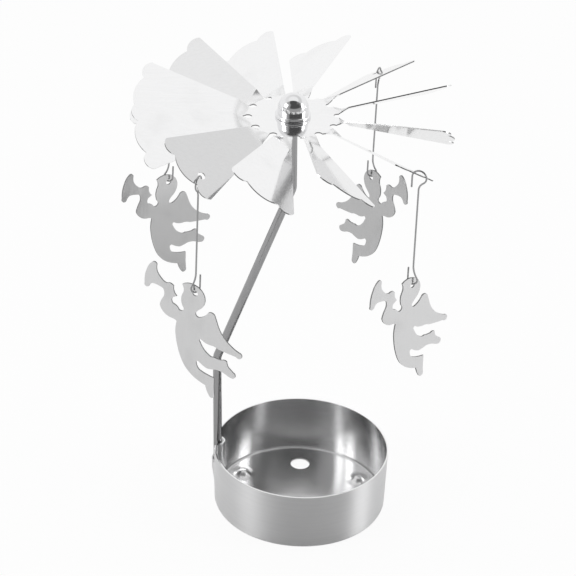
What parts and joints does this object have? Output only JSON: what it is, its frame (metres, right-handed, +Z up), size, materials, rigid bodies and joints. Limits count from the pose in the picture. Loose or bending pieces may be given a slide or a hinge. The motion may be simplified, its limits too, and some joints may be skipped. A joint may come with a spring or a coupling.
{
  "type": "angel chime carousel",
  "caption": "Rotary tealight holder: a round metal cup, a bent wire mast in its wall, a fan-bladed rotor on the mast's point and flat trumpeting angels on wire hooks.",
  "frame": {"origin": "middle of the cup's underside", "axes": "+Z up; the mast stands in the cup's wall towards -X, and the cup's vent hole lies towards +Y"},
  "size_m": [0.1125, 0.1073, 0.1632],
  "materials": {
    "cup_steel": "satin, brushed round",
    "rod_steel": "drawn, satin",
    "rotor_steel": "bright polished sheet",
    "hub_chrome": "polished",
    "seat_brass": "turned",
    "hook_wire": "bright wire",
    "angel_steel": "polished sheet"
  },
  "bodies": {
    "cup": {"cup": "cup_steel"},
    "mast": {"mast": "rod_steel"},
    "rotor": {"rotor": "rotor_steel", "hub_cap": "hub_chrome", "pivot_seat": "seat_brass"},
    "hook_front_left": {"hook_front_left": "hook_wire"},
    "angel_front_left": {"angel_front_left": "angel_steel"},
    "hook_front_right": {"hook_front_right": "hook_wire"},
    "angel_front_right": {"angel_front_right": "angel_steel"},
    "hook_back_right": {"hook_back_right": "hook_wire"},
    "angel_back_right": {"angel_back_right": "angel_steel"},
    "hook_back_left": {"hook_back_left": "hook_wire"},
    "angel_back_left": {"angel_back_left": "angel_steel"}
  },
  "joints": [
    {"name": "mast_lift", "type": "slide", "parent": "cup", "child": "mast", "axis": [-0.0235, 0.0016, 0.9997], "range_m": [0, 0.012]},
    {"name": "rotor_spin", "type": "hinge", "parent": "mast", "child": "rotor", "pos_m": [-0.00744, 0.00052, 0.15359], "axis": [0, 0, 1], "continuous": true},
    {"name": "hook_front_left_swing", "type": "hinge", "parent": "rotor", "child": "hook_front_left", "pos_m": [-0.03648, -0.04093, 0.15004], "axis": [-0.9414, 0.3372, 0], "range_deg": [-5, 30]},
    {"name": "angel_front_left_swing", "type": "hinge", "parent": "hook_front_left", "child": "angel_front_left", "pos_m": [-0.03681, -0.04184, 0.11026], "axis": [0.4368, 0.8996, 0], "range_deg": [-25, 25]},
    {"name": "hook_front_right_swing", "type": "hinge", "parent": "rotor", "child": "hook_front_right", "pos_m": [0.0339, -0.02832, 0.14833], "axis": [-0.3254, -0.9456, 0], "range_deg": [-5, 30]},
    {"name": "angel_front_right_swing", "type": "hinge", "parent": "hook_front_right", "child": "angel_front_right", "pos_m": [0.0339, -0.02832, 0.10835], "axis": [-0.6743, 0.7385, 0], "range_deg": [-25, 25]},
    {"name": "hook_back_right_swing", "type": "hinge", "parent": "rotor", "child": "hook_back_right", "pos_m": [0.0214, 0.04203, 0.1494], "axis": [0.9472, -0.3206, 0], "range_deg": [-5, 30]},
    {"name": "angel_back_right_swing", "type": "hinge", "parent": "hook_back_right", "child": "angel_back_right", "pos_m": [0.02098, 0.0408, 0.11013], "axis": [-0.7559, -0.6547, 0], "range_deg": [-25, 25]},
    {"name": "hook_back_left_swing", "type": "hinge", "parent": "rotor", "child": "hook_back_left", "pos_m": [-0.04888, 0.02962, 0.15028], "axis": [0.3417, 0.9398, 0], "range_deg": [-5, 30]},
    {"name": "angel_back_left_swing", "type": "hinge", "parent": "hook_back_left", "child": "angel_back_left", "pos_m": [-0.04997, 0.03001, 0.11108], "axis": [-0.5864, 0.81, 0], "range_deg": [-25, 25]}
  ]
}
